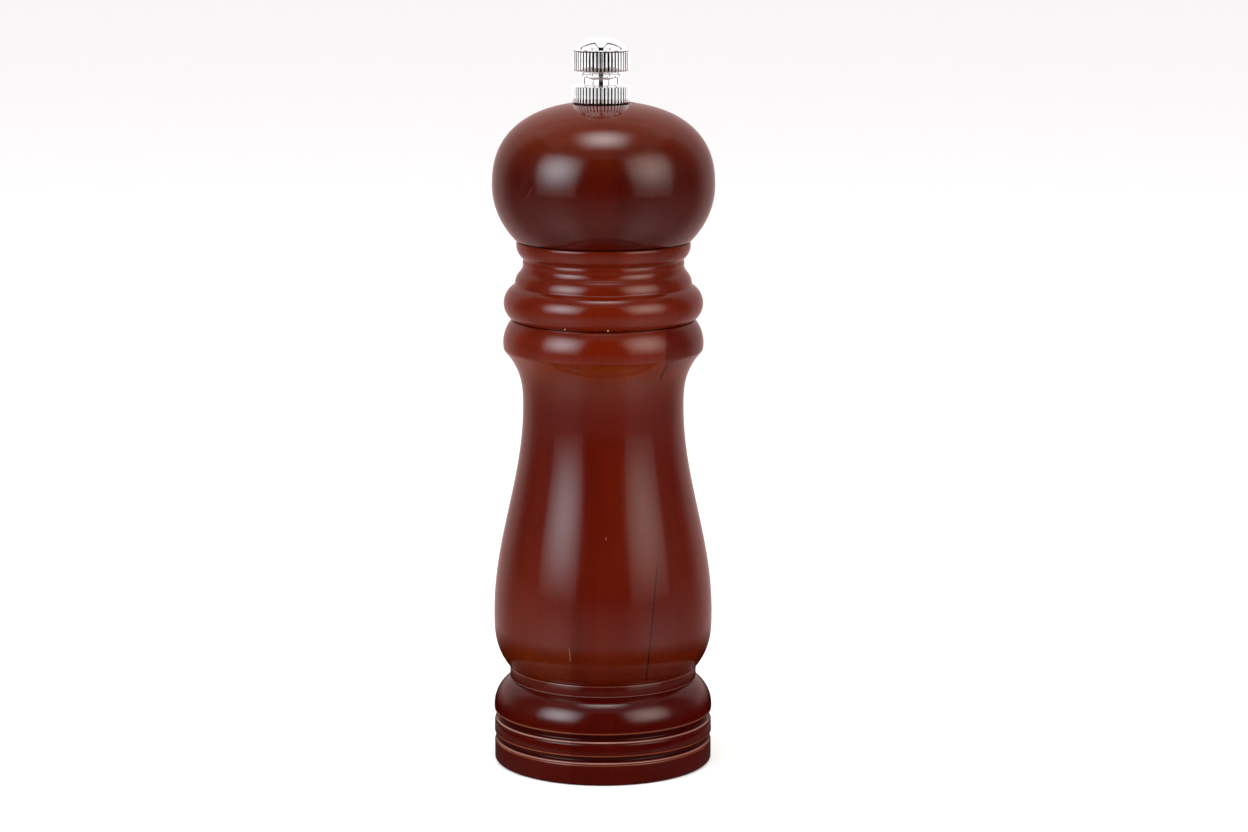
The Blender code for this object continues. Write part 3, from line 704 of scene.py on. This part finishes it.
def make_knob_washer():
    bottom, top = HEAD_SEAT[1] + 0.02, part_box("knob_washer")[1][2] / MM
    edge = (top - bottom) * 0.3
    flat = WASHER_RADIUS - WASHER_EDGE
    outline = [(WASHER_BORE_RADIUS, bottom), (flat, bottom), (WASHER_RADIUS, bottom + edge)]
    outline += [(WASHER_RADIUS, top - edge), (flat, top), (WASHER_BORE_RADIUS, top)]
    mesh = lathe("dark_seat_washer", outline, 96)
    mesh.transform(Matrix.Translation((KNOB_OFFSET * MM, 0, 0)))
    new_piece("dark_seat_washer", mesh, "knob", RUBBER, "knob_washer")


def gathered(name, *pieces):
    """A collection of pieces, for lights that reach them alone or pass them by."""
    group = bpy.data.collections.new(name)
    for piece in pieces:
        group.objects.link(piece)
    return group


WOOD_ONLY = gathered("wood_only", make_body(), make_head())
KNOB = make_knob()
KNOB_ONLY = gathered("knob_only", KNOB)
ALL_BUT_KNOB = gathered("all_but_knob", KNOB)
ALL_BUT_KNOB.collection_objects[0].light_linking.link_state = "EXCLUDE"
make_knob_washer()

CAD_LOOKS = {
    "lacquered_wood": WOOD,
    "chrome": CHROME,
    "brass": BRASS,
    "steel": STEEL,
    "burr_steel": BURR,
    "dark_washer": RUBBER,
}
SLOT_OF_NODE = {part["node"]: part["material_slot"] for part in frame["record"]["subparts"]}
for node_name, node_object in frame["nodes"].items():
    node_object.data.materials.clear()
    node_object.data.materials.append(CAD_LOOKS[SLOT_OF_NODE[node_name]])


# ---------------------------------------------------------------- floor, light and camera

def around(make, vector):
    """Angle of a direction or place round the mill: 0 straight in front of it, 1 straight behind it."""
    parts = make("ShaderNodeSeparateXYZ", {0: vector})
    ahead = product(make, parts.outputs[1], -1.0)
    angle = arithmetic(make, "ABSOLUTE", arithmetic(make, "ARCTAN2", parts.outputs[0], ahead))
    return arithmetic(make, "DIVIDE", angle, math.pi)


WALLS = [  # what mirrors show of the studio, from straight ahead of the mill to straight behind it
    (0.0, grey(0.01)), (0.1, grey(0.02)), (0.2, grey(0.02)), (0.3, grey(0.02)),
    (0.45, grey(0.14)), (0.58, grey(0.07)), (0.64, (0.22, 0.15, 0.14)),
    (0.71, (0.58, 0.4, 0.38)), (0.85, (0.66, 0.45, 0.43)), (1.0, (0.66, 0.45, 0.43)),
]
TABLE = [  # what mirrors show of the table near the mill, in the same order
    (0.0, (0.42, 0.34, 0.32)), (0.12, (0.44, 0.36, 0.34)), (0.24, (0.84, 0.72, 0.7)),
    (0.3, (0.84, 0.72, 0.7)), (0.45, (0.5, 0.4, 0.38)), (0.58, (0.44, 0.3, 0.28)),
    (0.71, (0.62, 0.42, 0.4)), (1.0, (0.7, 0.46, 0.44)),
]
TABLE_REACH = 2.5  # metres from the mill at which mirrors show the walls' tone only
TABLE_FADE = [(0.05, grey(0)), (0.1, grey(0.35)), (0.2, grey(0.6)), (0.4, grey(0.8)), (1.0, grey(1))]
NEARNESS = [(0.04, grey(0.12)), (0.06, grey(0.7)), (0.085, grey(0.8)), (0.12, grey(1.05))]  # by metres
FLOOR_RADIUS = 5000
FLOOR_TOP = -0.02
DARK_RIM_RADIUS = 52
DARK_RIM_THICKNESS = 1
DARK_RIM_HEIGHT = 24.0
DARK_RIM_COVER = [(0.07, grey(1)), (0.22, grey(0))]  # by height in decimetres

KNOB_CENTRE = (0, 0, 0.158)
TENT_RADIANCE = 1.1
SOFTBOXES = (  # direction, distance, size, radiance, colour
    ("left_box", (-0.76, -0.64, 0.41), 0.9, (1.0, 1.0), 7.4, (0.86, 0.93, 1.0)),
    ("right_box", (0.79, -0.61, 0.44), 0.9, (1.1, 1.1), 4.1, (1.0, 0.84, 0.72)),
    ("top_box", (0, -0.17, 1), 0.85, (0.72, 0.7), 7.5, (1.0, 1.0, 1.0)),
)
WALL_LIGHT = (1.0, 0.9, 0.88)
WALL_LIGHTS = (  # faint panels that only the wood mirrors: direction, distance, size, radiance
    ("left_wall", (-0.76, -0.64, 0.3), 0.95, (0.8, 0.95), 0.42),
    ("right_wall", (0.79, -0.61, 0.3), 0.95, (0.8, 0.95), 0.42),
    ("ceiling", (0, -0.1, 1), 1.1, (1.9, 1.9), 0.2),
)

CAMERA_PLACE = (0.00468, -0.7578, 0.2141)
CAMERA_DOWN = 10.06  # degrees
CAMERA_ROLL = 0.00225
CAMERA_LENS = 98.08
CAMERA_SENSOR = 36


def make_floor():
    """White table; mirrors show it dim near the mill and in front, and lit behind."""
    material, tree, shader, make = new_material("pale_floor")
    grain = noise(make, stretched(make, (40, 40, 40)), 3.0, 0.5)
    tree.links.new(ramp(make, grain, [(0.3, grey(0.82)), (0.7, grey(0.84))]), shader.inputs["Base Color"])
    shader.inputs["Roughness"].default_value = 0.6
    shader.inputs["Specular IOR Level"].default_value = 0.2
    shader.inputs["Emission Color"].default_value = (1, 1, 1, 1)
    shader.inputs["Emission Strength"].default_value = 0.2
    place = make("ShaderNodeTexCoord").outputs["Object"]
    flat = make("ShaderNodeVectorMath", {0: place}, operation="LENGTH").outputs["Value"]
    angle = around(make, place)
    table = mix_colour(make, 1.0, ramp(make, angle, TABLE), ramp(make, flat, NEARNESS), "MULTIPLY")
    beyond = ramp(make, arithmetic(make, "DIVIDE", flat, TABLE_REACH), TABLE_FADE)
    shown = mix_colour(make, beyond, table, ramp(make, angle, WALLS))
    # painted reflection: glossy rays see the table glow in this colour, dim near the mill and in front
    mirrored = make("ShaderNodeEmission", {"Color": shown})
    glossy = make("ShaderNodeLightPath").outputs["Is Glossy Ray"]
    surface = make("ShaderNodeMixShader", {0: glossy, 1: shader.outputs[0], 2: mirrored.outputs[0]})
    tree.links.new(surface.outputs[0], tree.nodes["Material Output"].inputs["Surface"])
    mesh = lathe("pale_floor", [(FLOOR_RADIUS, -1.0), (FLOOR_RADIUS, FLOOR_TOP)], 96, closed=False)
    mesh.materials.append(material)
    floor = bpy.data.objects.new("pale_floor", mesh)
    bpy.context.scene.collection.objects.link(floor)


def make_dark_rim():
    """A painted dark reflection: a low black ring round the foot that only mirrors show, in place of pepper
    and shade on the table.
    """
    material, tree, shader, make = new_material("painted_dark_reflection")
    shader.inputs["Base Color"].default_value = (0, 0, 0, 1)
    shader.inputs["Roughness"].default_value = 1.0
    shader.inputs["Specular IOR Level"].default_value = 0.0
    place = make("ShaderNodeTexCoord").outputs["Object"]
    height = make("ShaderNodeSeparateXYZ", {0: place}).outputs[2]
    tree.links.new(ramp(make, product(make, height, 10.0), DARK_RIM_COVER), shader.inputs["Alpha"])
    outer = DARK_RIM_RADIUS + DARK_RIM_THICKNESS
    outline = [(DARK_RIM_RADIUS, 0.0), (outer, 0.0), (outer, DARK_RIM_HEIGHT), (DARK_RIM_RADIUS, DARK_RIM_HEIGHT)]
    mesh = lathe("dark_rim", outline, 96)
    mesh.materials.append(material)
    rim = bpy.data.objects.new("dark_rim", mesh)
    bpy.context.scene.collection.objects.link(rim)
    rim.visible_camera = False
    rim.visible_diffuse = False
    rim.visible_shadow = False


def fading(light):
    """The light fades smoothly from its middle to its edges, as the cloth of a softbox does."""
    light.use_nodes = True
    tree = light.node_tree
    make = node_maker(tree)
    spot = make("ShaderNodeSeparateXYZ", {0: make("ShaderNodeNewGeometry").outputs["Parametric"]})
    strength = 1.0
    for across in spot.outputs[:2]:
        edge = arithmetic(make, "ABSOLUTE", arithmetic(make, "SUBTRACT", product(make, across, 2.0), 1.0))
        strength = product(make, smooth_fall(make, edge, 1.0), strength)
    tree.links.new(strength, tree.nodes["Emission"].inputs["Strength"])


def softbox(name, direction, distance, size, radiance, colour, faded=True):
    """A rectangular soft light that looks at the mill from a direction; radiance sets how bright it looks."""
    target = Vector((0, 0, 0.1))
    toward = Vector(direction).normalized()
    light = bpy.data.lights.new(name, "AREA")
    light.shape = "RECTANGLE"
    light.size, light.size_y = size
    light.energy = radiance * math.pi * size[0] * size[1]
    light.color = colour
    if faded:
        fading(light)
    lamp = bpy.data.objects.new(name, light)
    bpy.context.scene.collection.objects.link(lamp)
    lamp.location = target + toward * distance
    lamp.rotation_euler = (-toward).to_track_quat("-Z", "Y").to_euler()
    return lamp


def tent_panel(name, middle, facing, size):
    """A white panel that only the chromed knob mirrors; middle is measured from the knob."""
    lamp = softbox(name, (0, 0, 1), 1.0, size, TENT_RADIANCE, (1.0, 1.0, 1.0), faded=False)
    lamp.location = Vector(KNOB_CENTRE) + Vector(middle)
    lamp.rotation_euler = Vector(facing).to_track_quat("-Z", "Y").to_euler()
    lamp.light_linking.receiver_collection = KNOB_ONLY


def make_knob_tent():
    """Panels on the faces of a box round the knob; the chrome's dark lines are the slits between them."""
    reach = 0.5
    for side, name in ((-1, "left"), (1, "right")):
        tent_panel(f"tent_front_{name}", (side * 0.295, -reach, 0.138), (0, 1, 0), (0.37, 0.597))
        tent_panel(f"tent_side_{name}", (side * reach, -0.14, 0.152), (-side, 0, 0), (0.6, 0.64))
        tent_panel(f"tent_roof_{name}", (side * 0.315, -0.157, reach), (0, 0, -1), (0.37, 0.584))
        tent_panel(f"tent_back_{name}", (side * reach, 0.42, 0.16), (-side, 0, 0), (0.24, 0.66))
    tent_panel("tent_roof_middle", (0, 0.06, reach), (0, 0, -1), (0.2, 0.88))
    tent_panel("tent_roof_back", (0, 0.44, reach), (0, 0, -1), (1.0, 0.2))
    tent_panel("tent_back", (0, reach, 0.16), (0, -1, 0), (1.0, 0.7))


def make_lights():
    """The softboxes light all but the knob, the tent only the knob, and the wall panels only the wood."""
    for name, direction, distance, size, radiance, colour in SOFTBOXES:
        box = softbox(name, direction, distance, size, radiance, colour)
        box.light_linking.receiver_collection = ALL_BUT_KNOB
    make_knob_tent()
    for name, direction, distance, size, radiance in WALL_LIGHTS:
        wall = softbox(name, direction, distance, size, radiance, WALL_LIGHT, faded=False)
        wall.light_linking.receiver_collection = WOOD_ONLY


def make_world():
    """A white studio; the side that the mill faces is dimmer in what it mirrors, as behind a camera."""
    world = bpy.data.worlds.new("studio")
    bpy.context.scene.world = world
    world.use_nodes = True
    tree = world.node_tree
    make = node_maker(tree)
    background = tree.nodes["Background"]
    place = make("ShaderNodeTexCoord").outputs["Generated"]
    height = make("ShaderNodeSeparateXYZ", {0: place}).outputs[2]
    ceiling = ramp(make, height, [(0.7, grey(0)), (0.92, grey(1))])
    room = mix_colour(make, ceiling, ramp(make, around(make, place), WALLS), grey(0.1))
    glossy = make("ShaderNodeLightPath").outputs["Is Glossy Ray"]
    tree.links.new(mix_colour(make, glossy, grey(0.95), room), background.inputs["Color"])
    background.inputs["Strength"].default_value = 1.0


def make_camera():
    """A long lens a little above the mill, looking ten degrees down."""
    data = bpy.data.cameras.new("camera")
    data.sensor_width = CAMERA_SENSOR
    data.lens = CAMERA_LENS
    camera = bpy.data.objects.new("camera", data)
    bpy.context.scene.collection.objects.link(camera)
    camera.location = CAMERA_PLACE
    tilt = Matrix.Rotation(math.radians(90 - CAMERA_DOWN), 3, "X")
    camera.rotation_euler = (tilt @ Matrix.Rotation(CAMERA_ROLL, 3, "Z")).to_euler()
    bpy.context.scene.camera = camera


make_floor()
make_dark_rim()
make_world()
make_lights()
make_camera()
bpy.context.scene.view_settings.view_transform = "Standard"
